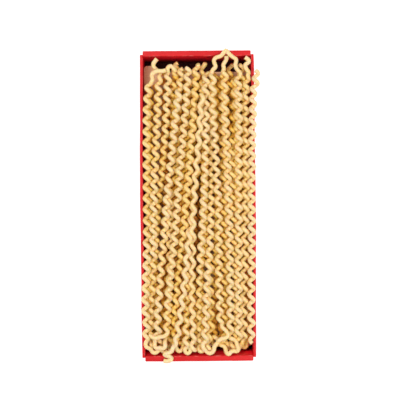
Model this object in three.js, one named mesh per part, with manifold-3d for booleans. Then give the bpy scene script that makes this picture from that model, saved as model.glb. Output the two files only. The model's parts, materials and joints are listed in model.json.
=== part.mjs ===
// An open red card box holding a bundle of long fusilli on a kraft card platform.
// Millimetres, +Z up. X runs across the box and Y along it, with the cut ends of the pasta at +Y.
// The origin is the middle of the box's underside.
import * as THREE from "three";
import { mergeVertices } from "three/addons/utils/BufferGeometryUtils.js";
import Module from "manifold-3d";

const wasm = await Module();
wasm.setup();

// Driving dimensions.
const box = {
  length: 280,
  width: 102.4, // over the side walls, at the ends
  height: 45,
  floor: 1.2,
  side: 1.5, // one thickness of side wall
  end: 5, // an end wall is rolled over, so its rim is this wide
  bow: 0.8, // how far the pasta pushes each side wall out at its middle
  cornerGap: 4.2, // the side walls stop this short of the outer ends
  cornerTaper: 0.8, // an end wall's rim narrows by this at each corner
};
const platform = {
  width: 96.6,
  length: 256,
  top: 30.6,
  card: 1.2,
  corner: 3,
  cutFrom: -39, // to the right of this X the head end is shorter
  cutDepth: 6,
};
const strand = {
  wire: 3.6, // thickness of the dough wire
  coil: 2.1, // from the coil's axis to the middle of the wire
  station: 120, // a leg's first and last values are at this distance from the middle
  level: 46.5, // height of the top layer's axes
  coreTop: 43.1,
};
const clearance = 0.3;

// The strands that show on top.
// across: X at even steps from head to foot; lift: height above the level, likewise;
// ends: Y of the head end and the foot end
const legs = {
  wallLeft: {
    across: [-42.8, -46, -46.2, -46.1, -48.6],
    lift: [0.5, 0.3, 0.2, 2.2, 3.6],
    ends: [116, -126],
  },
  secondLeft: { across: [-35.6, -40, -43.5], lift: [0.8, 0.3, 0.6], ends: [131, -118] },
  sunkLeft: { across: [-28, -33.6, -40], lift: [0.6, -3.5, -5.5], ends: [119, -118] },
  slantLeft: { across: [-16.5, -27.4, -37], lift: [0.6, 1.2, 1.4], ends: [119, -117] },
  slantNext: { across: [-8, -18.9, -29.5], lift: [1, 1, 0.8], ends: [125, -118] },
  slantThird: { across: [-0.8, -11.7, -23.6], lift: [0.8, -1.5, 1.6], ends: [127, -128] },
  overTop: { across: [6.4, -5.6, -18.2], lift: [3.6, 3.4, 2.6], ends: [98, -128] },
  underTop: { across: [2.8, -1.2, -7.4], lift: [-6, -2.2, 0.6], ends: [118, -127] },
  middle: { across: [8.4, 5.8, -1.4], lift: [-4, 0, 0.6], ends: [121, -125] },
  middleNext: { across: [13.2, 11.9, 5.2], lift: [-5.5, -1.5, 0.6], ends: [115, -125] },
  archLeft: { across: [13.8, 17.8, 16.6], lift: [2.2, 1, -0.6], ends: [118, -123] },
  archMiddle: { across: [24.4, 28, 28.4], lift: [1.6, 0.2, -0.2], ends: [132, -125] },
  archRight: { across: [37.6, 36.4, 35.6], lift: [2.4, 2, 1.4], ends: [116, -122] },
  secondRight: { across: [45, 43.4, 41.2], lift: [0.2, 1.4, -0.3], ends: [131, -125] },
  rimRight: { across: [52, 48.7, 47.2], lift: [3.6, 3.6, 3.4], ends: [120, -124] },
};

// A strand is one leg, or two legs joined by a bend where it hung over the drying rod.
// reach: how far the bend runs past the legs' ends; slack: how much of the coil is left in it;
// path: the bend's own points, where it isn't a plain half ellipse
const strands = [
  { legs: ["wallLeft"], pitch: 9.9, phase: 0.1 },
  { legs: ["sunkLeft", "slantLeft"], at: "head", reach: 6, slack: 0.8, pitch: 10, phase: 0.3 },
  { legs: ["secondLeft", "slantNext"], at: "foot", reach: 9, slack: 0.7, pitch: 10, phase: 0.6 },
  {
    legs: ["slantThird", "overTop"],
    at: "foot",
    reach: 8,
    slack: 0.4,
    lean: -6,
    rise: 1.2,
    pitch: 11.5,
    phase: 0.2,
  },
  { legs: ["underTop"], pitch: 10.6, phase: 0.5 },
  { legs: ["middle", "middleNext"], at: "foot", reach: 6, slack: 0.7, pitch: 10.6, phase: 0.8 },
  {
    legs: ["archLeft", "archRight"],
    at: "head",
    path: [
      [12.8, 121.2, 48.1],
      [17.4, 124.8, 48.1],
      [15, 130.4, 47.9],
      [18, 133.6, 47.9],
      [24.4, 136.2, 48.3],
      [26.4, 138, 48.5],
      [28.4, 135.8, 48.3],
      [35.6, 131.6, 48.1],
      [34.4, 126.4, 48.3],
      [39, 119.5, 48.5],
    ],
    reach: 22,
    slack: 0,
    pitch: 10.3,
    phase: 0.4,
  },
  { legs: ["archMiddle", "secondRight"], at: "foot", reach: 5, slack: 0.7, pitch: 10.3, phase: 0.9 },
  { legs: ["rimRight"], pitch: 9.9, phase: 0.15 },
];

// From three.js geometry to a solid and back.
function solid(geometry) {
  const bare = geometry.clone();
  bare.deleteAttribute("normal");
  bare.deleteAttribute("uv");
  const merged = mergeVertices(bare, 1e-4);
  return new wasm.Manifold(
    new wasm.Mesh({
      numProp: 3,
      vertProperties: merged.attributes.position.array,
      triVerts: new Uint32Array(merged.index.array),
    }),
  );
}

function geometryOf(body) {
  const mesh = body.getMesh();
  return new THREE.BufferGeometry()
    .setAttribute("position", new THREE.BufferAttribute(new Float32Array(mesh.vertProperties), 3))
    .setIndex(new THREE.BufferAttribute(new Uint32Array(mesh.triVerts), 1));
}

// Keeps the largest closed skin, which drops scraps and fills sealed hollows.
function outerSkin(body) {
  return body.decompose().reduce((kept, next) => (next.volume() > kept.volume() ? next : kept));
}

function plate(shape, bottom, top, curveSegments = 8) {
  const flat = new THREE.ExtrudeGeometry(shape, {
    depth: top - bottom,
    bevelEnabled: false,
    curveSegments,
  });
  return flat.translate(0, 0, bottom);
}

// The red card box.
function boxSolid() {
  const halfLength = box.length / 2;
  const outer = box.width / 2;
  const inner = outer - box.side;
  const sideEnd = halfLength - box.cornerGap;

  // A bowed side runs from foot to head on the right (+1), or from head to foot on the left (-1).
  function bowedSide(shape, x, y, way) {
    shape.quadraticCurveTo(way * (x + 2 * box.bow), 0, way * x, way * y);
  }

  const outline = new THREE.Shape();
  outline.moveTo(inner, -halfLength);
  outline.lineTo(inner - box.cornerTaper, -sideEnd - 1);
  outline.lineTo(outer, -sideEnd);
  bowedSide(outline, outer, sideEnd, 1);
  outline.lineTo(inner - box.cornerTaper, sideEnd + 1);
  outline.lineTo(inner, halfLength);
  outline.lineTo(-inner, halfLength);
  outline.lineTo(-inner + box.cornerTaper, sideEnd + 1);
  outline.lineTo(-outer, sideEnd);
  bowedSide(outline, outer, sideEnd, -1);
  outline.lineTo(-inner + box.cornerTaper, -sideEnd - 1);
  outline.lineTo(-inner, -halfLength);
  outline.closePath();

  const hollowEnd = halfLength - box.end;
  const hollow = new THREE.Shape();
  hollow.moveTo(inner, -hollowEnd);
  bowedSide(hollow, inner, hollowEnd, 1);
  hollow.lineTo(-inner, hollowEnd);
  bowedSide(hollow, inner, hollowEnd, -1);
  hollow.closePath();

  return solid(plate(outline, 0, box.height, 16)).subtract(
    solid(plate(hollow, box.floor, box.height + 1, 16)),
  );
}

// The kraft card that the pasta lies on: its sides fold down to the box's floor.
function platformSolid() {
  const halfWidth = platform.width / 2;
  const halfLength = platform.length / 2;
  const r = platform.corner;
  const cutEnd = halfLength - platform.cutDepth;
  const outline = new THREE.Shape();
  outline.moveTo(-halfWidth + r, -halfLength);
  outline.lineTo(halfWidth - r, -halfLength);
  outline.quadraticCurveTo(halfWidth, -halfLength, halfWidth, -halfLength + r);
  outline.lineTo(halfWidth, cutEnd - r);
  outline.quadraticCurveTo(halfWidth, cutEnd, halfWidth - r, cutEnd);
  outline.lineTo(platform.cutFrom, cutEnd);
  outline.lineTo(platform.cutFrom, halfLength - r / 2);
  outline.quadraticCurveTo(platform.cutFrom, halfLength, platform.cutFrom - r / 2, halfLength);
  outline.lineTo(-halfWidth + r, halfLength);
  outline.quadraticCurveTo(-halfWidth, halfLength, -halfWidth, halfLength - r);
  outline.lineTo(-halfWidth, -halfLength + r);
  outline.quadraticCurveTo(-halfWidth, -halfLength, -halfWidth + r, -halfLength);
  const bottom = box.floor + clearance;
  const inside = halfWidth - platform.card;
  const under = new THREE.Shape();
  under.moveTo(-inside, -halfLength - 1);
  under.lineTo(inside, -halfLength - 1);
  under.lineTo(inside, halfLength + 1);
  under.lineTo(-inside, halfLength + 1);
  under.closePath();
  return solid(plate(outline, bottom, platform.top, 3)).subtract(
    solid(plate(under, bottom - 1, platform.top - platform.card)),
  );
}

// Routes of the strands.
function smoothThrough(values, y) {
  const smooth = new THREE.SplineCurve(values.map((value, i) => new THREE.Vector2(i, value)));
  const share = (strand.station - y) / (2 * strand.station);
  return smooth.getPoint(THREE.MathUtils.clamp(share, 0, 1)).y;
}

function legPoint(leg, y) {
  return new THREE.Vector3(smoothThrough(leg.across, y), y, strand.level + smoothThrough(leg.lift, y));
}

function legPoints(leg, fromHead) {
  const [head, foot] = leg.ends;
  const count = 12;
  const points = [];
  for (let i = 0; i <= count; i++) {
    const share = fromHead ? i / count : 1 - i / count;
    points.push(legPoint(leg, head + (foot - head) * share));
  }
  return points;
}

function bendPoints(from, to, side, { path, reach, lean = 0, rise = 0 }) {
  if (path) return path.map((point) => new THREE.Vector3(...point));
  const centre = from.clone().add(to).multiplyScalar(0.5);
  const half = to.clone().sub(from).multiplyScalar(0.5);
  const points = [];
  for (let i = 1; i < 6; i++) {
    const turn = (Math.PI * i) / 6;
    const out = new THREE.Vector3(lean, side * reach, rise).multiplyScalar(Math.sin(turn));
    points.push(centre.clone().addScaledVector(half, -Math.cos(turn)).add(out));
  }
  return points;
}

function routeOf(item) {
  const [first, second] = item.legs.map((name) => legs[name]);
  const fromHead = item.at !== "head";
  const points = legPoints(first, fromHead);
  const lengthBefore = Math.abs(first.ends[0] - first.ends[1]);
  if (second) {
    const back = legPoints(second, !fromHead);
    points.push(...bendPoints(points.at(-1), back[0], fromHead ? -1 : 1, item), ...back);
  }
  const route = new THREE.CatmullRomCurve3(points, false, "centripetal");
  route.arcLengthDivisions = 400;
  return { route, bendAt: second ? lengthBefore + item.reach : Infinity };
}

// The wire's own line: a left-handed coil wound round a route, looser in the bend.
class CoiledWire extends THREE.Curve {
  constructor(item) {
    super();
    Object.assign(this, routeOf(item), { item, length: 0 });
    this.length = this.route.getLength();
  }

  getPoint(t) {
    const { item, route, bendAt, length } = this;
    const along = t * length;
    const centre = route.getPointAt(t);
    const ahead = route.getTangentAt(t);
    const sideways = ahead.clone().cross(new THREE.Vector3(0, 0, 1)).normalize();
    const upwards = sideways.clone().cross(ahead);
    const nearBend = Math.exp(-(((along - bendAt) / (item.reach ?? 1) / 1.4) ** 2));
    const radius = strand.coil * (1 - (1 - (item.slack ?? 1)) * nearBend);
    const turn = 2 * Math.PI * (along / item.pitch + item.phase);
    return centre
      .addScaledVector(sideways, radius * Math.cos(turn))
      .addScaledVector(upwards, radius * Math.sin(turn));
  }
}

function wireSolid(item) {
  const stepsPerTurn = 4;
  const wire = new CoiledWire(item);
  const steps = Math.round((wire.length / item.pitch) * stepsPerTurn);
  wire.arcLengthDivisions = steps * 6;
  const sides = 3;
  const sectionRadius = strand.wire * 0.62; // of the triangle that stands for the round wire
  const section = new THREE.Shape(
    Array.from({ length: sides }, (_, i) => {
      const angle = (2 * Math.PI * i) / sides;
      return new THREE.Vector2(sectionRadius * Math.cos(angle), sectionRadius * Math.sin(angle));
    }),
  );
  return solid(
    new THREE.ExtrudeGeometry(section, { steps, extrudePath: wire, bevelEnabled: false }),
  );
}

// The packed strands below, as one core with uneven ends.
function coreSolid() {
  const halfWidth = box.width / 2 - box.side - 0.6;
  const outline = new THREE.Shape();
  outline.moveTo(-halfWidth, -118);
  outline.splineThru([
    new THREE.Vector2(-38, -124),
    new THREE.Vector2(-16, -127),
    new THREE.Vector2(4, -127),
    new THREE.Vector2(24, -125),
    new THREE.Vector2(halfWidth, -118),
  ]);
  outline.lineTo(halfWidth, 108);
  outline.splineThru([
    new THREE.Vector2(38, 121),
    new THREE.Vector2(26, 119),
    new THREE.Vector2(18, 110),
    new THREE.Vector2(8, 119),
    new THREE.Vector2(-10, 121),
    new THREE.Vector2(-34, 118),
    new THREE.Vector2(-halfWidth, 104),
  ]);
  outline.closePath();
  return solid(plate(outline, platform.top + clearance, strand.coreTop, 3));
}

function bundleSolid() {
  const fused = strands.reduce((body, item) => body.add(wireSolid(item)), coreSolid());
  return outerSkin(fused);
}

// The scene graph.
const materials = {
  redCard: new THREE.MeshStandardMaterial({ color: 0xd8232a, roughness: 0.55, metalness: 0 }),
  kraftCard: new THREE.MeshStandardMaterial({ color: 0xb98a5e, roughness: 0.9, metalness: 0 }),
  pasta: new THREE.MeshStandardMaterial({ color: 0xf3d9a0, roughness: 0.6, metalness: 0 }),
};

function named(name, geometry, material) {
  const mesh = new THREE.Mesh(geometry, material);
  mesh.name = name;
  return mesh;
}

const group = new THREE.Group();
group.add(named("card_box", geometryOf(boxSolid()), materials.redCard));
group.add(named("kraft_platform", geometryOf(platformSolid()), materials.kraftCard));
group.add(named("fusilli_bundle", geometryOf(bundleSolid()), materials.pasta));

export default group;
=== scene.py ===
# A bundle of long fusilli lying in its open red card box, on a raised kraft card.
# Sizes are in millimetres until a mesh is finished. +Y runs towards the strands' cut ends.
import json
import math
import random

import bmesh
import bpy
import numpy as np
from mathutils import Matrix, Vector

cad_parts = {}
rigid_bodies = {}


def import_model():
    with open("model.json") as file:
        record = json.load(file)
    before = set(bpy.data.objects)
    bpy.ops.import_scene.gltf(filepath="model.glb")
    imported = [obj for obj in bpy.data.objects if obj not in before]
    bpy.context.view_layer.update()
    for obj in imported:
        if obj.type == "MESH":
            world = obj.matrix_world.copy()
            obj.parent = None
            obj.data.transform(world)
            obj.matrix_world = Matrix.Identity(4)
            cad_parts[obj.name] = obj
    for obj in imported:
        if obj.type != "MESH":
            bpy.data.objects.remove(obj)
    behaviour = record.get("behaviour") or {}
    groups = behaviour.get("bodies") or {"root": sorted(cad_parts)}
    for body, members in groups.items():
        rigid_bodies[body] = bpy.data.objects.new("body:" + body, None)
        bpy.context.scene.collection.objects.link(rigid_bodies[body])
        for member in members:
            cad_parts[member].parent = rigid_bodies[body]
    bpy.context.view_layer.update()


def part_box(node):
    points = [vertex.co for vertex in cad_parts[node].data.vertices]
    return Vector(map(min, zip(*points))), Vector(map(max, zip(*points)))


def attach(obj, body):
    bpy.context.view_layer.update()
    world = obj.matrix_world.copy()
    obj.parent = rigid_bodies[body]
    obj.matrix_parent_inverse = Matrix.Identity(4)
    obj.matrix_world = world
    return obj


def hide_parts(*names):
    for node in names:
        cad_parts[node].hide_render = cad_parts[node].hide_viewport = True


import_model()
mm = 0.001
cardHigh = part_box("card_box")[1]
kraftLow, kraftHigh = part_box("kraft_platform")

print("frame loaded")

# The strands of fusilli.

pasta = {
    "wire": 3.9,  # thickness of the dough wire
    "coil": 2.05,  # from the coil's axis to the middle of the wire
    "pitch": 10.0,  # of a usual coil, which sets how far apart its points lie
    "level": 45.6,  # height of the top layer's axes
    "layerStep": 5.2,  # how far down each next layer lies
    "stepsPerTurn": 14,
    "blend": 18,  # points over which the coil of one leg turns into the next one's
    "sides": 8,
    "seed": 11,
}

# Legs are followed from head (+Y) to foot (-Y). across is X at each of these Y values.
stations = (120, 90, 60, 30, 0, -30, -60, -90, -120)
fewStations = (120, 0, -120)  # for a leg that needs only three
# lift: how far above its layer; ends: Y of its cut or bent ends; peak: a Y where the coil bulges
# furthest to -X; pitch: at the head and at the foot; gold: how much more golden its dough is. A
# headPath or footPath is a stretch with little or no coil at that end: X, Y and lift.
topLegs = {
    "wallLeft": {
        "headPath": (
            (-41.7, 111.0, 1.8),
            (-39.3, 114.1, 2.2),
            (-41.0, 117.5, 2.4),
            (-38.8, 120.4, 2.6),
            (-34.6, 121.6, 2.8),
            (-31.4, 120.9, 2.8),
            (-27.8, 122.0, 2.4),
        ),
        "footPath": (
            (-48.8, -121.3, 3.2),
            (-48.4, -125.2, 2.6),
            (-45.8, -128.0, 1.8),
            (-43.6, -129.4, 1.4),
            (-41.6, -131.2, 1.2),
            (-38.4, -131.4, 1.2),
            (-36.4, -129.8, 1.2),
            (-33.4, -130.2, 1.0),
            (-30.6, -131.6, 0.4),
            (-27.9, -129.2, -0.6),
        ),
        "bareFoot": 0.7,
        "across": (-42.6, -45.3, -46.1, -46.3, -46.4, -46.3, -47.0, -48.5, -48.2),
        "lift": (1.2, 0.6, 0.2, 0.2, 0.2, 0.6, 2.2, 3.4, 3.2),
        "ends": (108, -118),
        "peak": 27.9,
        "pitch": (9.8, 10.3),
    },
    "secondLeft": {
        "headPath": (
            (-32.9, 118, 0.2),
            (-33.6, 121.2, 0.0),
            (-37.2, 123.6, 0.4),
            (-39.5, 126.4, 1.0),
            (-39.0, 128.8, 1.6),
            (-35.7, 132.4, 2.4),
        ),
        "across": (-33.9, -35.4, -36.9, -38.8, -40.0, -40.5, -41.0, -41.7, -42.0),
        "lift": (1.4, 0.8, 0.4, 0.2, 0.2, 0.2, -0.2, -1.6, -2.6),
        "ends": (114, -122),
        "peak": 29.7,
        "pitch": (9.6, 10.5),
    },
    "sunkLeft": {
        "across": (-25.6, -27.3, -28.8, -31.8, -35.6, -38.2, -39.2, -38.8, -35.0),
        "lift": (1.0, -0.6, -2.6, -4.2, -5.6, -6.2, -6.4, -6.0, -5.0),
        "ends": (119, -128),
        "peak": 89.0,
        "pitch": (9.4, 10.4),
    },
    "slantLeft": {
        "across": (-13.2, -18.1, -21.4, -24.9, -28.4, -30.8, -34.2, -37.0, -37.6),
        "lift": (0.6, 0.8, 1.0, 1.0, 1.0, 1.0, 1.0, 0.8, 0.6),
        "ends": (124, -115),
        "peak": 45.5,
        "pitch": (9.3, 10.7),
    },
    "slantNext": {
        "footPath": (
            (-29.2, -114.6, 2.6),
            (-31.4, -117.2, 3.4),
            (-34.8, -116.6, 3.8),
            (-38.8, -118.3, 3.8),
            (-42.6, -117.2, 3.8),
            (-45.4, -115.0, 3.8),
        ),
        "across": (-8.0, -10.2, -13.0, -15.9, -18.4, -21.4, -24.9, -27.9, -29.2),
        "lift": (2.6, 1.2, 1.0, 0.8, 0.6, 0.6, 0.6, 0.8, 1.6),
        "ends": (124, -112),
        "peak": 41.4,
        "pitch": (9.1, 10.6),
        "gold": 0.12,
    },
    "slantThird": {
        "across": (-0.6, -2.6, -5.2, -8.1, -10.8, -14.0, -18.4, -21.6, -21.4),
        "lift": (1.0, 0.2, -1.0, -2.0, -2.6, -3.0, -3.4, -3.6, -3.0),
        "ends": (127, -125),
        "peak": 102.6,
        "pitch": (9.2, 10.6),
        "gold": 0.34,
    },
    "overTop": {
        "across": (6.6, 3.8, 1.2, -1.8, -4.2, -5.4, -6.0, -6.2, -5.8),
        "lift": (2.2, 2.4, 2.4, 2.0, 1.4, 1.0, 1.0, 1.0, 1.0),
        "ends": (100, -127),
        "peak": 50.8,
        "pitch": (13.2, 11.0),
        "coil": 1.55,
    },
    "crossUnder": {
        "footPath": (
            (-23.6, -126.2, 1.4),
            (-24.4, -130.4, 1.6),
            (-28.6, -132.2, 1.8),
            (-32.2, -133.2, 2.0),
            (-28.4, -134.4, 2.0),
            (-24.2, -136.4, 1.8),
            (-26.6, -139.2, 1.4),
            (-30.0, -139.2, 1.2),
            (-32.6, -138.6, 1.2),
        ),
        "across": (5.8, 4.4, 2.2, -0.6, -5.2, -8.2, -11.6, -15.2, -20.6),
        "lift": (-4.6, -4.2, -3.4, -2.2, 0.2, 1.0, 1.0, 1.0, 1.2),
        "ends": (129, -122),
        "peak": -23.4,
        "pitch": (12.4, 12.0),
        "coil": 1.7,
    },
    "rising": {
        "across": (-3.0, -4.0, -5.2, -6.4, -7.6, -9.0, -10.2, -11.2, -11.0),
        "lift": (-5.2, -5.4, -5.6, -5.6, -5.2, -4.6, -3.0, -0.2, 1.2),
        "ends": (120, -126),
        "peak": -110.7,
        "pitch": (9.8, 10.4),
        "gold": 0.1,
    },
    "middle": {
        "across": (8.7, 8.0, 7.7, 6.8, 5.2, 3.4, 1.6, 0.6, 0.4),
        "lift": (-1.8, -2.0, -0.8, 0.2, 0.6, 0.8, 0.8, 0.8, 0.8),
        "ends": (121, -126),
        "peak": -15.8,
        "pitch": (10.0, 10.4),
    },
    "middleNext": {
        "across": (12.0, 12.1, 12.2, 12.8, 12.4, 10.5, 8.3, 6.6, 5.0),
        "lift": (-3.6, -3.4, -3.0, -2.6, -1.8, -0.8, 0.2, 0.6, 0.8),
        "ends": (117, -122),
        "peak": -21.0,
        "pitch": (9.8, 10.6),
    },
    "archLeft": {
        "footPath": (
            (20.4, -108.6, 1.2),
            (24.6, -112.4, 2.0),
            (26.8, -116.0, 2.6),
            (23.8, -118.6, 2.8),
            (20.2, -118.9, 2.4),
            (16.8, -121.4, 1.8),
        ),
        "across": (14.0, 13.7, 15.6, 16.4, 18.2, 18.6, 18.4, 18.8, 19.6),
        "lift": (2.2, 1.2, 1.0, 1.0, 0.8, 0.6, 0.4, 0.2, 0.2),
        "ends": (118, -105),
        "peak": 35.5,
        "pitch": (10.2, 10.6),
    },
    "archMiddle": {
        "headPath": ((24.4, 123.6, 0.2), (23.4, 126.6, 0), (27.0, 131.4, -0.2), (26.4, 134.4, 0)),
        "across": (25.2, 24.5, 26.0, 26.9, 27.7, 28.1, 28.3, 28.9, 28.7),
        "lift": (0.2, 0.4, 0.6, 0.6, 0.6, 0.6, 0.6, 0.8, 1.4),
        "ends": (120, -118),
        "peak": 38.7,
        "pitch": (10.2, 10.5),
    },
    "archRight": {
        "across": (36.6, 37.5, 37.5, 37.3, 36.8, 36.6, 36.4, 35.9, 35.0),
        "lift": (2.2, 2.0, 1.8, 1.8, 1.6, 1.6, 1.6, 1.6, 1.6),
        "ends": (116, -122),
        "peak": 43.2,
        "pitch": (9.8, 10.6),
    },
    "secondRight": {
        "headPath": (
            (47.6, 119.0, 0.6),
            (44.6, 122.4, 0.8),
            (43.0, 126.6, 1.0),
            (46.8, 128.6, 1.4),
            (47.4, 130.4, 1.8),
            (43.4, 133.2, 2.2),
        ),
        "across": (45.5, 43.6, 43.6, 43.4, 42.7, 42.0, 41.2, 40.3, 39.8),
        "lift": (1.6, 0.2, -0.4, -0.2, 0.2, 0.4, 0.8, 0.8, 0.8),
        "ends": (115, -118),
        "peak": 0.4,
        "pitch": (9.6, 10.6),
    },
    "rimRight": {
        "across": (53.2, 52.9, 51.8, 51.2, 50.2, 49.2, 49.0, 48.6, 48.2),
        "lift": (3.6, 3.6, 3.5, 3.4, 3.4, 3.4, 3.4, 3.4, 3.2),
        "ends": (121, -124),
        "peak": -8.6,
        "pitch": (9.0, 10.6),
    },
}

# The legs just under the top layer: X at head, middle and foot, the Y of both ends, how much
# higher than their layer they lie, and the top leg beside them, whose coil theirs nests in. A
# shift of a quarter turn lets a leg fill that coil's gaps. gold makes its dough more golden.
secondLegs = {
    "underWallLeft": {
        "across": (-43.0, -43.4, -44.6),
        "ends": (108, -126),
        "lift": (1, 1, 0),
        "like": "wallLeft",
    },
    "underSecondLeft": {
        "across": (-36.0, -38.8, -40.8),
        "ends": (114, -122),
        "lift": (-4.5, -5.0, -1.5),
        "like": "secondLeft",
    },
    "archedBack": {
        "across": (-20.8, -24.4, -26.4),
        "ends": (122, -131),
        "lift": (0, 0, 1.6),
        "like": "slantLeft",
    },
    "underSlantLeft": {
        "across": (-17.5, -21.4, -33.0),
        "ends": (130, -118),
        "lift": (-1, -0.6, -1),
        "like": "slantNext",
        "shift": 2.6,
        "gold": 0.2,
    },
    "underSlantNext": {
        "across": (-6.0, -7.6, -9.4, -12.0, -14.8, -17.4, -20.2, -20.6, -16.0),
        "ends": (116, -124),
        "lift": (-1, -0.4, 0.2, 0.4, 0.4, 0.4, 0.2, -0.6, -1),
        "like": "slantThird",
        "shift": 2.6,
        "gold": 0.42,
    },
    "gapRising": {
        "across": (-4.5, -11.0, -13.6),
        "ends": (108, -119),
        "lift": (-1, -1, -1),
        "like": "slantThird",
        "shift": 2.6,
        "gold": 0.2,
    },
    "underRising": {
        "across": (-2.0, -7.4, -9.6),
        "ends": (120, -126),
        "lift": (-4, -4, -3),
        "like": "rising",
    },
    "underOverTop": {
        "across": (0.2, -4.0, -4.0),
        "ends": (112, -127),
        "lift": (-5, -5, -1),
        "like": "rising",
    },
    "underMiddle": {
        "across": (4.6, 6.0, 3.6),
        "ends": (113, -126),
        "lift": (-1, -1, -1),
        "like": "middle",
    },
    "underMiddleNext": {
        "across": (9.8, 8.6, 8.6),
        "ends": (112, -132),
        "lift": (0, 0, 2.4),
        "like": "middleNext",
    },
    "gapLeft": {
        "across": (17.0, 15.3, 13.2),
        "ends": (110, -117),
        "lift": (-1, -2, -3),
        "like": "archLeft",
    },
    "gapRight": {"across": (22.0, 23.4, 23.4), "ends": (119, -121), "like": "archLeft", "shift": 2.6},
    "underStar": {
        "across": (26.0, 27.4, 26.4),
        "ends": (104, -130),
        "lift": (-3.4, -3.4, 0),
        "like": "archLeft",
    },
    "underArchMiddle": {
        "across": (30.0, 32.4, 31.0),
        "ends": (128, -130),
        "lift": (-3, 0.4, 2.8),
        "like": "archMiddle",
        "shift": 2.6,
    },
    "underArchRight": {
        "across": (35.0, 36.6, 35.0),
        "ends": (116, -131),
        "lift": (0, 0, 2),
        "like": "archRight",
    },
    "underSecondRight": {
        "across": (40.4, 41.0, 40.0),
        "ends": (128, -123),
        "lift": (1, 1, 1),
        "like": "secondRight",
    },
}

# Each bend joins two legs that hung over the drying rod. It reaches out beyond them and may rise,
# with as much of the coil as slack says, or it follows the path in via, with as much of the coil
# gone as bare says.
bends = [
    {"legs": ("secondLeft", "underSecondLeft"), "at": "foot", "reach": 4.5, "slack": 0.8},
    {
        "legs": ("sunkLeft", "archedBack"),
        "at": "head",
        "via": (
            (-27.0, 121.4, 1.0),
            (-26.3, 124.5, 1.2),
            (-23.7, 126.6, 1.2),
            (-21.0, 124.4, 0.8),
            (-20.2, 121.4, 0),
        ),
    },
    {
        "legs": ("slantLeft", "underSlantLeft"),
        "at": "foot",
        "via": (
            (-40.2, -118.8, 1.4),
            (-41.0, -123.0, 1.4),
            (-38.6, -127.0, 1.6),
            (-34.2, -128.2, 1.8),
            (-30.4, -125.8, 1.6),
            (-30.4, -121.6, 1.0),
            (-31.8, -118.4, 0.0),
        ),
        "bare": 0.7,
    },
    {
        "legs": ("slantThird", "underSlantNext"),
        "at": "foot",
        "via": (
            (-21.2, -127.2, -1.6),
            (-20.6, -130.0, -1.2),
            (-18.2, -131.6, -1.0),
            (-15.6, -130.2, -1.2),
            (-15.2, -127.2, -1.4),
        ),
        "bare": 0.8,
    },
    {
        "legs": ("rising", "underRising"),
        "at": "foot",
        "via": (
            (-12.6, -127.4, 1.2),
            (-12.8, -130.0, 1.4),
            (-10.3, -132.6, 1.4),
            (-7.8, -130.2, 1.0),
            (-7.8, -127.4, 0.2),
        ),
        "bare": 0.75,
    },
    {"legs": ("overTop", "underOverTop"), "at": "foot", "reach": 3.8, "slack": 0.9, "rise": 0.6},
    {"legs": ("middle", "underMiddle"), "at": "foot", "reach": 4.2, "slack": 0.9, "rise": 0.6},
    {
        "legs": ("middleNext", "gapLeft"),
        "at": "foot",
        "via": (
            (4.2, -124.2, 1.2),
            (3.4, -127.4, 1.4),
            (5.4, -130.8, 1.8),
            (9.0, -132.8, 2.0),
            (12.2, -130.8, 1.8),
            (13.4, -127.0, 1.2),
            (16.4, -124.2, 0.8),
            (16.9, -121.0, 0.0),
            (13.8, -118.4, -2.0),
        ),
        "bare": 0.75,
    },
    {
        "legs": ("archLeft", "archRight"),
        "at": "head",
        "via": (
            (12.8, 121.2, 1.6),
            (17.4, 124.8, 1.6),
            (15.0, 130.4, 1.4),
            (17.0, 133.2, 1.4),
            (22.0, 134.2, 1.6),
            (24.4, 137.2, 2.0),
            (26.4, 140.2, 2.2),
            (28.2, 136.8, 2.0),
            (32.0, 133.4, 1.6),
            (36.0, 131.6, 1.6),
            (34.4, 126.4, 1.8),
            (35.4, 123.2, 2.0),
            (39.6, 118.9, 2.0),
        ),
    },
    {
        "legs": ("archMiddle", "gapRight"),
        "at": "foot",
        "via": (
            (30.2, -120.6, 1.4),
            (33.8, -122.6, 1.6),
            (35.2, -126.4, 1.6),
            (34.6, -130.4, 1.6),
            (31.4, -130.2, 1.4),
            (29.0, -131.8, 1.8),
            (26.2, -133.8, 2.2),
            (24.2, -130.2, 1.6),
            (22.4, -127.2, 1.0),
            (19.0, -125.2, 0.4),
            (17.8, -121.8, -0.4),
        ),
        "bare": 0.7,
    },
    {"legs": ("secondRight", "underSecondRight"), "at": "foot", "reach": 4, "slack": 0.8},
]

# The lowest layer: X of its legs, which wander a little by chance.
lowestLegs = (-44, -29.5, -24, -16.5, -11, 5.5, 11.5, 18.5, 24.5, 31, 38.5, 44)


def smoothAlong(values, width):
    # Gaussian smoothing that keeps the end values and slopes.
    reach = int(3 * width)
    weights = np.exp(-0.5 * (np.arange(-reach, reach + 1) / width) ** 2)
    weights /= weights.sum()
    values = np.asarray(values, float)
    head = 2 * values[:1] - values[reach:0:-1]
    tail = 2 * values[-1:] - values[-2 : -reach - 2 : -1]
    padded = np.concatenate([head, values, tail])
    if padded.ndim == 1:
        return np.convolve(padded, weights, "valid")
    return np.stack([np.convolve(column, weights, "valid") for column in padded.T], axis=1)


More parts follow.
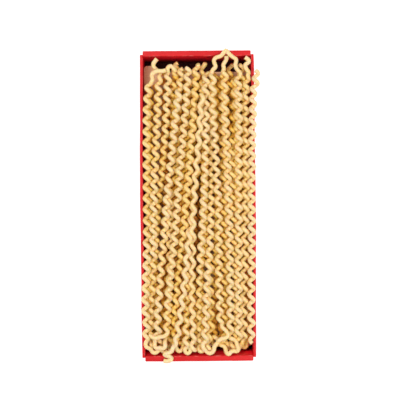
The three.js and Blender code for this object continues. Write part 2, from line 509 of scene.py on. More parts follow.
def legLine(leg, level):
    # The leg's axis from head to foot, a point each millimetre.
    head, foot = leg["ends"]
    yAll = np.arange(145, -146, -1.0)
    at = stations if len(leg["across"]) == len(stations) else fewStations
    order = np.argsort(at)
    across = smoothAlong(np.interp(yAll, np.array(at)[order], np.array(leg["across"])[order]), 9)
    lifts = leg.get("lift", (0,) * len(at))
    lift = smoothAlong(np.interp(yAll, np.array(at)[order], np.array(lifts)[order]), 9)
    keep = (yAll <= head) & (yAll >= foot)
    line = np.stack([across[keep], yAll[keep], level + lift[keep], np.zeros(keep.sum())], axis=1)
    parts = [line]
    if "headPath" in leg:
        parts.insert(0, barePath(leg["headPath"], level)[::-1])
    if "footPath" in leg:
        parts.append(barePath(leg["footPath"], level, leg.get("bareFoot", 1.0)))
    return np.concatenate(parts)


def barePath(path, level, bare=1.0):
    # A stretch with less of the coil, or none. The last column says how bare it is.
    return np.array([(x, y, level + lift, bare) for x, y, lift in path])


def bendLine(start, end, side, bend, level):
    # Half an ellipse from one leg's end to the other's, or the path that is given.
    if "via" in bend:
        return barePath(bend["via"], level, bend.get("bare", 1.0))
    centre = (start + end) / 2
    half = (end - start) / 2
    turn = np.linspace(0, math.pi, 26)[1:-1, None]
    out = np.array([0, side * bend["reach"], bend.get("rise", 0), 0])
    return centre - half * np.cos(turn) + out * np.sin(turn)


def evenly(line, spacing):
    steps = np.linalg.norm(np.diff(line[:, :3], axis=0), axis=1)
    length = np.concatenate([[0], np.cumsum(steps)])
    at = np.arange(0, length[-1], spacing)
    return np.stack([np.interp(at, length, column) for column in line.T], axis=1)


def carriedFrame(line):
    # A side and an up vector at each point, carried along the line without twist.
    ahead = np.gradient(line, axis=0)
    ahead /= np.linalg.norm(ahead, axis=1)[:, None]
    side = Vector((1, 0, 0))
    sides = np.empty_like(line)
    before = Vector(ahead[0])
    side = (side - before * side.dot(before)).normalized()
    for i, direction in enumerate(ahead):
        now = Vector(direction)
        side = before.rotation_difference(now) @ side
        side = (side - now * side.dot(now)).normalized()
        sides[i] = side
        before = now
    return ahead, sides, np.cross(ahead, sides)


def pitchAt(leg, y):
    head, foot = leg["pitch"]
    share = np.clip((y - stations[-1]) / (stations[0] - stations[-1]), 0, 1)
    return foot + (head - foot) * share


def makeStrand(legs, levels, bend=None):
    # One strand of dough: its axis, and the wire's offset from it.
    lines = [legLine(leg, level) for leg, level in zip(legs, levels)]
    if bend and bend["at"] == "head":
        lines[0] = lines[0][::-1]
    elif bend:
        lines[1] = lines[1][::-1]
    parts = [lines[0]]
    if bend:
        side = 1 if bend["at"] == "head" else -1
        parts.append(bendLine(lines[0][-1], lines[1][0], side, bend, levels[0]))
        parts.append(lines[1])
    spacing = pasta["pitch"] / pasta["stepsPerTurn"]
    rough = np.concatenate(parts)
    smooth = evenly(smoothAlong(evenly(rough, 0.5), 2.6), spacing)
    axis, bare = smooth[:, :3], smoothAlong(smooth[:, 3], 3)
    ahead, sides, ups = carriedFrame(axis)
    split = len(axis)
    if bend:
        outermost = np.argmax(side * axis[:, 1])
        split = outermost
    index = np.arange(len(axis))
    first = index < split
    pitch = np.where(first, pitchAt(legs[0], axis[:, 1]), pitchAt(legs[-1], axis[:, 1]))
    turn = -np.cumsum(2 * math.pi * spacing / pitch)
    # Each leg's coil is turned so that it bulges where the leg's peak says.
    for part, leg in ((first, legs[0]), (~first, legs[-1])):
        if not part.any():
            continue
        at = index[part][np.argmin(abs(axis[part, 1] - leg["peak"]))]
        wanted = math.atan2(-ups[at, 0], -sides[at, 0])
        miss = (wanted - turn[at] + math.pi) % (2 * math.pi) - math.pi
        if leg is legs[0]:
            turn += miss
        else:
            blend = np.clip((index - split) / pasta["blend"] + 0.5, 0, 1)
            turn += miss * blend * blend * (3 - 2 * blend)
    coil = np.where(first, legs[0].get("coil", pasta["coil"]), legs[-1].get("coil", pasta["coil"]))
    coil = smoothAlong(coil, 6) * (1 - np.clip(bare, 0, 1))
    if bend and "reach" in bend:
        width = (bend["reach"] + 2) / spacing
        coil = coil * (1 - (1 - bend.get("slack", 0.12)) * np.exp(-(((index - split) / width) ** 2)))
    offset = coil[:, None] * (np.cos(turn)[:, None] * sides + np.sin(turn)[:, None] * ups)
    gold = smoothAlong(np.where(first, legs[0].get("gold", 0.0), legs[-1].get("gold", 0.0)), 12)
    pinned = len(legs[0]["across"]) == len(stations)
    return {"axis": axis, "offset": offset, "pinned": pinned, "gold": gold}


def middleOf(leg):
    return leg["across"][len(leg["across"]) // 2]


def makeStrands():
    chance = random.Random(pasta["seed"])
    level = pasta["level"]
    step = pasta["layerStep"]
    for leg in secondLegs.values():
        leg["lift"] = tuple(lift + chance.uniform(-0.5, 0.3) for lift in leg.get("lift", (0, 0, 0)))
        leg["pitch"] = topLegs[leg["like"]]["pitch"]
        leg["peak"] = topLegs[leg["like"]]["peak"] + leg.get("shift", 0) + chance.uniform(-0.5, 0.5)
    layerOf = {name: level for name in topLegs}
    layerOf.update({name: level - step for name in secondLegs})
    legs = {**topLegs, **secondLegs}
    strands = []
    joined = set()
    for bend in bends:
        pair = bend["legs"]
        joined.update(pair)
        strands.append(makeStrand([legs[n] for n in pair], [layerOf[n] for n in pair], bend))
    for name, leg in legs.items():
        if name not in joined:
            strands.append(makeStrand([leg], [layerOf[name]]))
    made = []
    for middle in lowestLegs:
        above = min(secondLegs.values(), key=lambda leg: abs(middleOf(leg) - middle))
        slant = chance.uniform(-1, 1)
        wander = [chance.uniform(-0.5, 0.5) for _ in range(3)]
        made.append(
            {
                "across": (middle + slant + wander[0], middle + wander[1], middle - slant + wander[2]),
                "ends": (116 + chance.uniform(-7, 8), -121 + chance.uniform(-3, 4)),
                "pitch": above["pitch"],
                "peak": above["peak"] + chance.uniform(-0.8, 0.8),
            }
        )
    for i in range(0, len(made), 2):
        bend = {"at": "foot", "reach": 6}
        strands.append(makeStrand(made[i : i + 2], [level - 2 * step] * 2, bend))
    return strands


# Settling: strands that cut into each other or the box are eased apart.

settling = {
    "rounds": 46,
    "sink": 0.04,  # how far each round lets them down
    "ease": 2.4,
    "spread": 3.5,  # a push is shared along this many samples
    "slide": 30.0,  # and a push along the strand along this many
    "hold": 0.18,  # how firmly the strands on top keep their place
    "most": 0.6,  # how far a point may move in one round
    "press": 0.2,  # how far they may press into the side walls
    "wallEnd": 136,  # the side walls bow between this Y and minus this Y
    "gap": 0.05,  # over the kraft card
    "skip": 2,  # every second point of a wire is tested
}


def wallLimit(y):
    # How far the middle of a wire may be from the box's middle, at Y. The side walls bow.
    bow = (redBox["bow"] + settling["press"]) * (1 - np.clip(y / settling["wallEnd"], -1, 1) ** 2)
    return redBox["halfWidth"] - redBox["side"] + bow - pasta["wire"] / 2


def contacts(points, owner, index, wire):
    # How each point is pushed by the wires that it cuts into.
    push = np.zeros_like(points)
    deepest = np.zeros(len(points))
    slab = np.floor(points[:, 1] / wire).astype(int)
    for key in range(slab.min(), slab.max() + 1):
        here = np.flatnonzero(slab == key)
        near = np.flatnonzero(abs(slab - key) <= 1)
        if not len(here):
            continue
        apart = points[here][:, None] - points[near][None]
        distance = np.sqrt((apart**2).sum(axis=2))
        far = abs(index[here][:, None] - index[near][None]) > 2 * pasta["stepsPerTurn"]
        other = (owner[here][:, None] != owner[near][None]) | far
        depth = np.where(other, np.maximum(wire - distance, 0), 0)
        scale = 0.5 * depth / np.maximum(distance, 0.2)
        push[here] = (apart * scale[..., None]).sum(axis=1)
        deepest[here] = depth.max(axis=1)
    return push, deepest


def settle(strands):
    wire = pasta["wire"]
    floor = kraftHigh.z / mm + wire / 2 + settling["gap"]
    rim = cardHigh.z / mm + wire / 2 + 0.1
    endInside = cardHigh.y / mm - redBox["end"]
    skip = settling["skip"]
    sizes = [len(s["axis"][::skip]) for s in strands]
    starts = np.concatenate([[0], np.cumsum(sizes)])
    owner = np.repeat(np.arange(len(strands)), sizes)
    index = np.concatenate([np.arange(n) * skip for n in sizes])
    offset = np.concatenate([s["offset"][::skip] for s in strands])
    home = np.concatenate([s["axis"][::skip] for s in strands])
    pinned = np.repeat([s["pinned"] for s in strands], sizes)
    axis = home.copy()
    for turn in range(settling["rounds"]):
        points = axis + offset
        push, deepest = contacts(points, owner, index, wire)
        inside = points[:, 2] < rim
        beyond = np.where(inside, np.maximum(abs(points[:, 0]) - wallLimit(points[:, 1]), 0), 0)
        push[:, 0] -= np.sign(points[:, 0]) * beyond
        overEnd = abs(points[:, 1]) > endInside - wire / 2
        push[:, 2] += np.where(overEnd & inside, np.minimum(rim - points[:, 2], 0.5), 0)
        push[:, 2] += np.maximum(floor - points[:, 2], 0)
        for start, end in zip(starts[:-1], starts[1:]):
            part = slice(start, end)
            along = smoothAlong(push[part, 1], settling["slide"] / skip)
            push[part] = smoothAlong(push[part], settling["spread"])
            push[part, 1] = along
        push *= settling["ease"]
        push[pinned, 1] = 0
        if turn < settling["rounds"] * 0.6:
            push[:, 2] -= settling["sink"]
        axis += np.clip(push, -settling["most"], settling["most"])
        axis[pinned, 0] += settling["hold"] * (home[pinned, 0] - axis[pinned, 0])
        if turn % 9 == 0 or turn == settling["rounds"] - 1:
            cut = deepest > 0.4
            print(f"settling {turn}: deepest {deepest.max():.2f}, over 0.4 mm {cut.mean():.3f},", end=" ")
            print(f"top {points[:, 2].max() + wire / 2:.1f}")
    moved = axis - home
    for strand, start, end in zip(strands, starts[:-1], starts[1:]):
        count = len(strand["axis"])
        at = np.arange(count) / skip
        shift = [np.interp(at, np.arange(end - start), moved[start:end, i]) for i in range(3)]
        strand["points"] = strand["axis"] + smoothAlong(np.stack(shift, axis=1), 3) + strand["offset"]
        strand["points"][:, 2] = np.maximum(strand["points"][:, 2], floor)


doughToneAndShade = {
    "shadeFrom": 2.2,  # painted shade starts below this height above the top layer's axes; higher up the dough is palest
    "shadeOver": 8,  # painted shade: this much further down the dough is painted fully golden
    "shadeByDepth": 0.8,  # how strongly depth paints shade
    "strand": 0.14,  # how much the strands differ
    "side": 0.17,  # painted shade: how much more golden a wire is painted down its sides
    "footEnd": 136,  # the ends are in the light, so they are paler again towards these Y
    "headEnd": 134,
    "endOver": 22,
}


def paintedDepthShade(points):
    # Painted shade: how golden the dough is painted at each point of a wire; the lower it lies, the more
    # golden.
    t = doughToneAndShade
    height = smoothAlong(points[:, 2], 2.5)
    return t["shadeByDepth"] * np.clip((pasta["level"] + t["shadeFrom"] - height) / t["shadeOver"], 0, 1.5)


# Painted light: the painted shade fades towards both ends of the box, which are in the light.
def endShade(y):
    foot = np.clip((y + doughToneAndShade["footEnd"]) / doughToneAndShade["endOver"], 0.2, 1)
    return foot * np.clip((doughToneAndShade["headEnd"] - y) / doughToneAndShade["endOver"], 0.3, 1)


def strandPiece(name, strands, seed):
    # All strands of one kind as one mesh of closed tubes. Each point carries painted shade, by depth and
    # down the wire's sides, plus a random share for each strand.
    chance = random.Random(seed)
    curve = bpy.data.curves.new(name, "CURVE")
    curve.dimensions = "3D"
    curve.bevel_depth = pasta["wire"] / 2 * mm
    curve.bevel_resolution = (pasta["sides"] - 4) // 2
    curve.use_fill_caps = True
    tubes, caps, middles, capMiddles = [], [], [], []
    for strand in strands:
        points = strand["points"] * mm
        spline = curve.splines.new("POLY")
        spline.points.add(len(points) - 1)
        flat = np.ones((len(points), 4))
        flat[:, :3] = points
        spline.points.foreach_set("co", flat.ravel())
        thick = 1 + 0.03 * np.sin(np.arange(len(points)) * 0.21 + chance.uniform(0, 6))
        spline.points.foreach_set("radius", thick * chance.uniform(0.97, 1.03))
        # Painted shade: points lower in the heap are painted more golden, less so towards the box's ends.
        shadeByDepth = (paintedDepthShade(strand["points"]) + strand["gold"]) * endShade(strand["points"][:, 1])
        toneAndShade = shadeByDepth + doughToneAndShade["strand"] * chance.random()
        tubes += list(np.repeat(toneAndShade, pasta["sides"]))
        caps = list(np.repeat(toneAndShade[[-1, 0]], pasta["sides"])) + caps  # the last strand's come first
        height = points[:, 2]
        middles += list(np.repeat(height, pasta["sides"]))
        capMiddles = list(np.repeat(height[[-1, 0]], pasta["sides"])) + capMiddles
    holder = bpy.data.objects.new(name, curve)
    bpy.context.scene.collection.objects.link(holder)
    mesh = bpy.data.meshes.new_from_object(holder.evaluated_get(bpy.context.evaluated_depsgraph_get()))
    bpy.data.objects.remove(holder)
    mesh.name = name
    piece = bpy.data.objects.new(name, mesh)
    bpy.context.scene.collection.objects.link(piece)
    # Painted shade: the dough is painted palest on top of the wire and more golden down its sides.
    corners = np.empty(len(mesh.vertices) * 3)
    mesh.vertices.foreach_get("co", corners)
    upward = (corners[2::3] - np.array(capMiddles + middles)) / (pasta["wire"] / 2 * mm)
    tones = np.array(caps + tubes) + doughToneAndShade["side"] * (1 - np.clip(upward, -1, 1))
    mesh.attributes.new("toneAndShade", "FLOAT", "POINT").data.foreach_set("value", tones.astype(np.float32))
    bm = bmesh.new()
    bm.from_mesh(mesh)
    bmesh.ops.remove_doubles(bm, verts=bm.verts, dist=1e-7)
    bm.to_mesh(mesh)
    bm.free()
    mesh.polygons.foreach_set("use_smooth", [True] * len(mesh.polygons))
    for polygon in mesh.polygons:
        if len(polygon.vertices) > 4:
            polygon.use_smooth = False
    return piece


# The card box and the kraft card.

redBox = {
    "halfLength": cardHigh.y / mm,
    "halfWidth": 51.2,  # over the side walls, at the ends
    "height": cardHigh.z / mm,
    "floor": 1.2,
    "side": 2.6,
    "end": 5.0,  # the end walls are rolled over
    "slant": {"head": 0.8, "foot": 3.0},  # how far the inner panel of each end reaches in
    "slantDepth": 13,  # and how far down it has done so
    "bow": 0.8,  # how much wider each side is at its middle
    "cornerGap": 3.5,  # between a side wall's end and the box's end
    "fold": 0.55,  # radius of a folded edge
    "ripple": (0.16, 0.07),  # the long and the short waves along a side
    "wave": 0.1,  # along an end
    "dent": 0.16,  # in the rim of an end
}


def meshPiece(name, mesh, node=None):
    piece = bpy.data.objects.new(name, mesh)
    bpy.context.scene.collection.objects.link(piece)
    finishPiece(piece, node)
    return piece


def finishPiece(piece, node=None):
    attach(piece, "root")
    if node:
        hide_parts(node)


def cardPanel(name, low, high, cuts, shape, fold, inward=None, dim=1.0):
    # A panel of card with rounded folds. shape moves each of its points.
    # Painted light and shade: an attribute grows down the face that looks inward, where little light
    # comes.
    # The red card is painted a brighter red there, and near black where the attribute grows large.
    low, high = Vector(low), Vector(high)
    bm = bmesh.new()
    bmesh.ops.create_cube(bm, size=1)
    bmesh.ops.scale(bm, vec=high - low, verts=bm.verts)
    bmesh.ops.translate(bm, vec=(low + high) / 2, verts=bm.verts)
    bmesh.ops.bevel(
        bm,
        geom=bm.edges[:],
        offset=fold,
        offset_type="OFFSET",
        segments=3,
        profile=0.5,
        affect="EDGES",
        material=-1,
    )
    for axis, count in enumerate(cuts):
        normal = Vector([float(axis == i) for i in range(3)])
        for i in range(1, count):
            place = low.lerp(high, i / count)
            whole = bm.verts[:] + bm.edges[:] + bm.faces[:]
            bmesh.ops.bisect_plane(bm, geom=whole, plane_co=place, plane_no=normal)
    bmesh.ops.recalc_face_normals(bm, faces=bm.faces)
    bm.normal_update()
    wear = bm.verts.layers.float.new("wear")
    shadeByDepth = bm.verts.layers.float.new("shadeByDepth")
    for vert in bm.verts:
        vert[wear] = 1.0 if max(abs(n) for n in vert.normal) < 0.97 else 0.0
        if inward and vert.normal.dot(Vector(inward)) > 0.4:
            vert[shadeByDepth] = dim * (1 - vert.co.z / redBox["height"])
        vert.co = Vector(shape(vert.co)) * mm
    mesh = bpy.data.meshes.new(name)
    bm.to_mesh(mesh)
    bm.free()
    mesh.polygons.foreach_set("use_smooth", [True] * len(mesh.polygons))
    mesh.set_sharp_from_angle(angle=math.radians(50))
    return mesh


def bowed(y):
    share = min(1, abs(y) / (redBox["halfLength"] - redBox["cornerGap"]))
    return redBox["bow"] * (1 - share * share)


def makeCardBox():
    b = redBox
    length, width, top = b["halfLength"], b["halfWidth"], b["height"]
    inner = width - b["side"]

    def ripple(y, z, seed):
        # Card is never quite flat: slow waves that grow towards the free edge.
        long, short = b["ripple"]
        waves = long * math.sin(y * 0.045 + seed) + short * math.sin(y * 0.13 + 2 * seed)
        return waves * (z / top) ** 2

    for side, label, seed in ((-1, "left", 0.6), (1, "right", 2.1)):

        def sideShape(co, side=side, seed=seed):
            lean = bowed(co.y) + ripple(co.y, co.z, seed)
            drop = 0.12 * math.sin(co.y * 0.07 + seed) * (co.z / top) ** 4
            return (co.x + side * lean, co.y, co.z + drop - 0.12 * (co.z / top) ** 4)

        low = (inner if side > 0 else -width, -length + b["cornerGap"], 0)
        high = (width if side > 0 else -inner, length - b["cornerGap"], top)
        inward = (-side, 0, 0)
        # Painted light: the side walls' inner faces are painted a brighter red; at 0.5 none of their
        # painted shade reaches near black.
        mesh = cardPanel(f"side_{label}", low, high, (1, 36, 5), sideShape, b["fold"], inward, 0.5)
        meshPiece(f"card_side_{label}", mesh, "card_box")

    for side, label, seed in ((1, "head", 0.9), (-1, "foot", 2.7)):

        def endShape(co, side=side, label=label, seed=seed):
            crown = 0.1 * (1 - (co.x / inner) ** 2) * (co.z / top) ** 4
            wave = b["wave"] * math.sin(co.x * 0.11 + seed) * (co.z / top) ** 2
            dent = b["dent"] * math.exp(-(((co.x - 22 * side) / 9) ** 2)) * (co.z / top) ** 6
            inside = (length - abs(co.y)) / b["end"]  # the inner panel slants a little under the lip
            slant = b["slant"][label] * inside * min(1, (top - co.z) / b["slantDepth"])
            inward = 0.05 + abs(wave) + slant
            return (co.x, co.y - side * inward, co.z + crown - dent - 0.1 * (co.z / top) ** 4)

        low = (-inner - 0.15, length - b["end"] if side > 0 else -length, 0)
        high = (inner + 0.15, length if side > 0 else -length + b["end"], top)
        # Painted shade: the end walls' inner faces are painted darker towards the floor, down to near
        # black.
        dim = 1.0 if side > 0 else 0.72  # the foot end's inner face is in more light
        fold = b["fold"] * 1.4
        mesh = cardPanel(f"end_{label}", low, high, (24, 2, 8), endShape, fold, (0, -side, 0), dim)
        meshPiece(f"card_end_{label}", mesh, "card_box")

    def floorShape(co):
        return (co.x * (1 + bowed(co.y) / inner), co.y, co.z)

    low = (-inner - 0.5, -length + b["end"] - 0.5, 0.05)
    high = (inner + 0.5, length - b["end"] + 0.5, b["floor"])
    # Painted shade: the floor's top looks inward too, so it is painted near black.
    mesh = cardPanel("floor", low, high, (6, 18, 1), floorShape, 0.3, (0, 0, 1))
    meshPiece("card_floor", mesh, "card_box")


kraftCard = {
    "halfWidth": kraftHigh.x / mm,
    "halfLength": kraftHigh.y / mm,
    "top": kraftHigh.z / mm,
    "bottom": kraftLow.z / mm,
    "card": 1.2,
    "corner": 3.0,
    "cutBack": -39,  # to the right of this X its head end is shorter
    "cutDepth": 6.0,
}


def roundedOutline(corners):
    # Right-angled corners, each rounded to its own radius.
    points = []
    for i, (x, y, radius) in enumerate(corners):
        here = Vector((x, y))
        before = (Vector(corners[i - 1][:2]) - here).normalized()
        after = (Vector(corners[(i + 1) % len(corners)][:2]) - here).normalized()
        centre = here + (before + after) * radius
        for step in range(7):
            turn = math.pi / 12 * step
            points.append(centre - after * radius * math.cos(turn) - before * radius * math.sin(turn))
    return points


def makeKraftCard():
    k = kraftCard
    wide, end = k["halfWidth"], k["halfLength"]
    back = end - k["cutDepth"]
    outline = roundedOutline(
        [
            (-wide, -end, k["corner"]),
            (wide, -end, k["corner"]),
            (wide, back, k["corner"]),
            (k["cutBack"], back, 1.5),
            (k["cutBack"], end, 2.0),
            (-wide, end, k["corner"]),
        ]
    )
    curve = bpy.data.curves.new("kraft_top", "CURVE")
    curve.dimensions = "2D"
    curve.fill_mode = "BOTH"
    edge = 0.25
    curve.bevel_depth = edge * mm
    curve.bevel_resolution = 1
    curve.offset = -edge * mm
    curve.extrude = (k["card"] / 2 - edge) * mm
    spline = curve.splines.new("POLY")
    spline.points.add(len(outline) - 1)
    for point, place in zip(spline.points, outline):
        point.co = (place.x * mm, place.y * mm, 0, 1)
    spline.use_cyclic_u = True
    holder = bpy.data.objects.new("kraft_top", curve)
    bpy.context.scene.collection.objects.link(holder)
    mesh = bpy.data.meshes.new_from_object(holder.evaluated_get(bpy.context.evaluated_depsgraph_get()))
    bpy.data.objects.remove(holder)
    mesh.transform(Matrix.Translation((0, 0, (k["top"] - k["card"] / 2) * mm)))
    bm = bmesh.new()
    bm.from_mesh(mesh)
    bmesh.ops.remove_doubles(bm, verts=bm.verts, dist=1e-6)
    bmesh.ops.recalc_face_normals(bm, faces=bm.faces)
    bm.to_mesh(mesh)
    bm.free()
    meshPiece("kraft_top", mesh, "kraft_platform")
    for side, label in ((-1, "left"), (1, "right")):
        low = (wide - k["card"] if side > 0 else -wide, -end + k["corner"], k["bottom"])
        head = back if side > 0 else end
        high = (wide if side > 0 else -wide + k["card"], head - k["corner"], k["top"] - k["card"])
        flap = cardPanel(f"kraft_{label}", low, high, (1, 12, 2), lambda co: co, 0.2)
        meshPiece(f"kraft_flap_{label}", flap, "kraft_platform")


# Materials.


def freshMaterial(name):
    material = bpy.data.materials.new(name)
    material.use_nodes = True
    return material, material.node_tree.nodes, material.node_tree.links


def noise(tree, vector, scale, detail=3.0, roughness=0.55):
    node = tree.nodes.new("ShaderNodeTexNoise")
    node.inputs["Scale"].default_value = scale
    node.inputs["Detail"].default_value = detail
    node.inputs["Roughness"].default_value = roughness
    tree.links.new(vector, node.inputs["Vector"])
    return node.outputs["Fac"]


def ramp(tree, value, low, high, toLow=0.0, toHigh=1.0):
    node = tree.nodes.new("ShaderNodeMapRange")
    node.inputs["From Min"].default_value = low
    node.inputs["From Max"].default_value = high
    node.inputs["To Min"].default_value = toLow
    node.inputs["To Max"].default_value = toHigh
    tree.links.new(value, node.inputs["Value"])
    return node.outputs["Result"]


def mixColours(tree, share, first, second):
    node = tree.nodes.new("ShaderNodeMix")
    node.data_type = "RGBA"
    tree.links.new(share, node.inputs["Factor"])
    sockets = [socket for socket in node.inputs if socket.type == "RGBA"]
    for socket, colour in zip(sockets, (first, second)):
        if isinstance(colour, tuple):
            socket.default_value = (*colour, 1)
        else:
            tree.links.new(colour, socket)
    return [socket for socket in node.outputs if socket.type == "RGBA"][0]


def maths(tree, operation, first, second):
    node = tree.nodes.new("ShaderNodeMath")
    node.operation = operation
    for socket, value in zip(node.inputs, (first, second)):
        if isinstance(value, (int, float)):
            socket.default_value = value
        else:
            tree.links.new(value, socket)
    return node.outputs[0]


def fibreGroup():
    # Card fibres: a mask of long thin hairs that lie two ways, and their height.
    group = bpy.data.node_groups.new("cardFibres", "ShaderNodeTree")
    group.interface.new_socket("Vector", in_out="INPUT", socket_type="NodeSocketVector")
    group.interface.new_socket("Scale", in_out="INPUT", socket_type="NodeSocketFloat")
    group.interface.new_socket("Mask", in_out="OUTPUT", socket_type="NodeSocketFloat")
    group.interface.new_socket("Height", in_out="OUTPUT", socket_type="NodeSocketFloat")
    inside = group.nodes.new("NodeGroupInput")
    outside = group.nodes.new("NodeGroupOutput")
    hairs = []
    for stretch in ((1.0, 0.16, 1.0), (0.18, 1.0, 0.5)):
        mapping = group.nodes.new("ShaderNodeMapping")
        mapping.inputs["Scale"].default_value = stretch
        group.links.new(inside.outputs["Vector"], mapping.inputs["Vector"])
        hair = group.nodes.new("ShaderNodeTexNoise")
        hair.inputs["Detail"].default_value = 4.0
        hair.inputs["Roughness"].default_value = 0.7
        group.links.new(mapping.outputs["Vector"], hair.inputs["Vector"])
        group.links.new(inside.outputs["Scale"], hair.inputs["Scale"])
        hairs.append(hair.outputs["Fac"])
    both = maths(group, "ADD", hairs[0], hairs[1])
    group.links.new(ramp(group, both, 0.8, 1.2), outside.inputs["Mask"])
    group.links.new(maths(group, "MULTIPLY", both, 0.5), outside.inputs["Height"])
    return group


def placeGroup(tree, group, vector, scale):
    node = tree.nodes.new("ShaderNodeGroup")
    node.node_tree = group
    tree.links.new(vector, node.inputs["Vector"])
    node.inputs["Scale"].default_value = scale
    return node


def addBump(tree, height, shader, strength, distance):
    bump = tree.nodes.new("ShaderNodeBump")
    bump.inputs["Strength"].default_value = strength
    bump.inputs["Distance"].default_value = distance
    tree.links.new(height, bump.inputs["Height"])
    tree.links.new(bump.outputs["Normal"], shader.inputs["Normal"])


def redCardMaterial(fibres):
    material, nodes, links = freshMaterial("red_card")
    tree = material.node_tree
    shader = nodes["Principled BSDF"]
    where = nodes.new("ShaderNodeTexCoord").outputs["Object"]
    fibre = placeGroup(tree, fibres, where, 1400)
    mottle = ramp(tree, noise(tree, where, 40, 4), 0.35, 0.65)
    red = mixColours(tree, mottle, (0.64, 0.010, 0.012), (0.74, 0.018, 0.020))
    hairs = maths(tree, "MULTIPLY", fibre.outputs["Mask"], 0.22)
    red = mixColours(tree, hairs, red, (0.48, 0.008, 0.012))
    scuff = ramp(tree, noise(tree, where, 260, 6, 0.75), 0.62, 0.74)
    red = mixColours(tree, maths(tree, "MULTIPLY", scuff, 0.22), red, (0.80, 0.12, 0.11))
    worn = nodes.new("ShaderNodeAttribute")
    worn.attribute_name = "wear"
    patchy = ramp(tree, noise(tree, where, 220, 4), 0.5, 0.75)
    wear = maths(tree, "MULTIPLY", maths(tree, "MULTIPLY", worn.outputs["Fac"], patchy), 0.7)
    red = mixColours(tree, wear, red, (0.8, 0.3, 0.26))
    # Painted light and shade on faces that look inward: a brighter red below the rim, then near black
    # towards the floor.
    inside = nodes.new("ShaderNodeAttribute")
    inside.attribute_name = "shadeByDepth"
    red = mixColours(tree, ramp(tree, inside.outputs["Fac"], 0.02, 0.1), red, (0.92, 0.012, 0.03))
    paintedShade = ramp(tree, inside.outputs["Fac"], 0.5, 0.95, 0.0, 0.95)
    red = mixColours(tree, paintedShade, red, (0.010, 0.001, 0.001))
    links.new(red, shader.inputs["Base Color"])
    links.new(ramp(tree, noise(tree, where, 90, 3), 0.3, 0.7, 0.4, 0.52), shader.inputs["Roughness"])
    shader.inputs["Specular IOR Level"].default_value = 0.25
    addBump(tree, fibre.outputs["Height"], shader, 0.35, 0.00015)
    return material


def kraftMaterial(fibres):
    material, nodes, links = freshMaterial("kraft_card")
    tree = material.node_tree
    shader = nodes["Principled BSDF"]
    where = nodes.new("ShaderNodeTexCoord").outputs["Object"]
    fibre = placeGroup(tree, fibres, where, 900)
    brown = mixColours(tree, fibre.outputs["Mask"], (0.72, 0.42, 0.22), (0.86, 0.58, 0.36))
    cloud = ramp(tree, noise(tree, where, 120, 3), 0.35, 0.65)
    brown = mixColours(tree, maths(tree, "MULTIPLY", cloud, 0.35), brown, (0.82, 0.53, 0.31))
    fleck = ramp(tree, noise(tree, where, 1800, 2), 0.66, 0.74)
    brown = mixColours(tree, maths(tree, "MULTIPLY", fleck, 0.6), brown, (0.36, 0.16, 0.07))
    links.new(brown, shader.inputs["Base Color"])
    shader.inputs["Roughness"].default_value = 0.9
    shader.inputs["Specular IOR Level"].default_value = 0.2
    addBump(tree, fibre.outputs["Height"], shader, 0.4, 0.0002)
    return material


# pale is the dough in full light. golden is partly the dough's own richer colour and partly painted
# shade. The darkest colour, after golden, is painted shade only.
dough = {
    "pale": (0.93, 0.71, 0.42),
    "golden": (0.92, 0.585, 0.075),
    "shadeAmber": (0.70, 0.29, 0.01),
    "floury": (0.95, 0.78, 0.52),
    "speck": (0.62, 0.36, 0.10),
}


def pastaMaterial():
    material, nodes, links = freshMaterial("dried_pasta")
    tree = material.node_tree
    shader = nodes["Principled BSDF"]
    where = nodes.new("ShaderNodeTexCoord").outputs["Object"]
    # Painted shade: the attribute read here holds painted shade by depth and down the wires' sides, plus
    # a random share for each strand.
    toneAndShade = nodes.new("ShaderNodeAttribute")
    toneAndShade.attribute_name = "toneAndShade"
    drift = ramp(tree, noise(tree, where, 45, 3), 0.3, 0.7)
    share = maths(tree, "ADD", maths(tree, "MULTIPLY", drift, 0.16), toneAndShade.outputs["Fac"])
    colour = mixColours(tree, share, dough["pale"], dough["golden"])
    # Painted shade: where the attribute runs highest, low in the heap, the dough is painted its darkest
    # colour.
    colour = mixColours(tree, ramp(tree, share, 0.9, 1.5), colour, dough["shadeAmber"])
    flour = ramp(tree, noise(tree, where, 420, 4, 0.7), 0.5, 0.72)
    colour = mixColours(tree, maths(tree, "MULTIPLY", flour, 0.4), colour, dough["floury"])
    speck = ramp(tree, noise(tree, where, 1500, 2), 0.68, 0.76)
    colour = mixColours(tree, maths(tree, "MULTIPLY", speck, 0.35), colour, dough["speck"])
    links.new(colour, shader.inputs["Base Color"])
    links.new(ramp(tree, noise(tree, where, 600, 3), 0.3, 0.7, 0.45, 0.62), shader.inputs["Roughness"])
    shader.inputs["Subsurface Weight"].default_value = 0.3
    shader.inputs["Subsurface Radius"].default_value = (1.0, 0.5, 0.16)
    shader.inputs["Subsurface Scale"].default_value = 0.0022
    shader.inputs["Specular IOR Level"].default_value = 0.45
    addBump(tree, noise(tree, where, 1300, 4, 0.65), shader, 0.3, 0.00018)
    return material


studio = {
    "pixel": 0.9,  # millimetres of the rim's plane in one pixel of the picture
    "distance": 1100,  # from the camera to the rim's plane
    "aim": (1.85, 5.34),  # X and Y under the middle of the picture
    "turn": -0.00867,  # of the camera, in radians, because the box lies a little askew
    "picture": 400,  # pixels across
    "sky": 0.34,
    "table": 0.55,  # the glow of the white table under it
    "key": 11.3,  # each of the two soft boxes
}


def floorMaterial():
    material, nodes, links = freshMaterial("studio_floor")
    shader = nodes["Principled BSDF"]
    shader.inputs["Base Color"].default_value = (0.93, 0.93, 0.93, 1)
    shader.inputs["Roughness"].default_value = 0.9
    shader.inputs["Emission Color"].default_value = (1, 1, 1, 1)
    shader.inputs["Emission Strength"].default_value = studio["table"]
    return material


# Making it all.

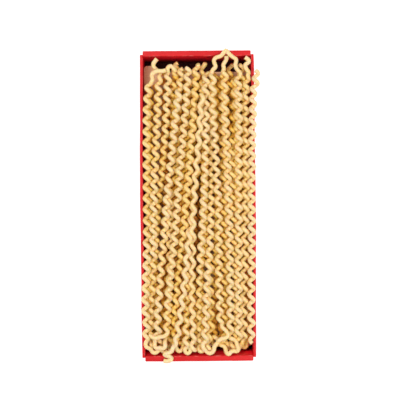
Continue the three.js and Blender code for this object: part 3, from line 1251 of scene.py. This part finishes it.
strands = makeStrands()
print(f"{len(strands)} strands laid out")
settle(strands)
showing = [s for s in strands if s["pinned"]]
beneath = [s for s in strands if not s["pinned"]]
topPiece = strandPiece("fusilli_top", showing, 3)
lowPiece = strandPiece("fusilli_below", beneath, 5)
dried = pastaMaterial()
for piece in (topPiece, lowPiece):
    piece.data.materials.append(dried)
    finishPiece(piece, "fusilli_bundle")
    print(f"{piece.name}: {sum(len(p.vertices) - 2 for p in piece.data.polygons)} triangles")

makeCardBox()
makeKraftCard()
fibres = fibreGroup()
red = redCardMaterial(fibres)
kraft = kraftMaterial(fibres)
for piece in list(bpy.context.scene.objects):
    if piece.name.startswith("card_") and piece.name != "card_box":
        piece.data.materials.append(red)
    elif piece.name.startswith("kraft_") and piece.name != "kraft_platform":
        piece.data.materials.append(kraft)
print("card box and kraft card made")

# Floor, light and camera.

bm = bmesh.new()
bmesh.ops.create_grid(bm, x_segments=2, y_segments=2, size=2.5)
floorMesh = bpy.data.meshes.new("studio_floor")
bm.to_mesh(floorMesh)
bm.free()
floor = bpy.data.objects.new("studio_floor", floorMesh)
floor.location.z = -0.0002  # just under the box's underside
bpy.context.scene.collection.objects.link(floor)
floorMesh.materials.append(floorMaterial())

world = bpy.data.worlds.new("studio")
world.use_nodes = True
world.node_tree.nodes["Background"].inputs["Color"].default_value = (1, 1, 1, 1)
world.node_tree.nodes["Background"].inputs["Strength"].default_value = studio["sky"]
bpy.context.scene.world = world


def areaLight(name, place, size, power):
    light = bpy.data.lights.new(name, "AREA")
    light.shape = "SQUARE"
    light.size = size
    light.energy = power
    lamp = bpy.data.objects.new(name, light)
    lamp.location = place
    lamp.rotation_euler = Vector(place).to_track_quat("Z", "Y").to_euler()
    bpy.context.scene.collection.objects.link(lamp)


areaLight("left", (-0.68, 0.46, 1.25), 0.8, studio["key"])
areaLight("right", (0.72, -0.36, 1.25), 0.8, studio["key"])

camera = bpy.data.objects.new("camera", bpy.data.cameras.new("camera"))
camera.data.sensor_width = 36
acrossView = studio["picture"] * studio["pixel"]
camera.data.lens = camera.data.sensor_width * studio["distance"] / acrossView
camera.data.clip_start = 0.01
aimX, aimY = studio["aim"]
camera.location = (aimX * mm, aimY * mm, (redBox["height"] + studio["distance"]) * mm)
camera.rotation_euler = (0, 0, studio["turn"])
bpy.context.scene.collection.objects.link(camera)
bpy.context.scene.camera = camera
bpy.context.scene.view_settings.view_transform = "Standard"
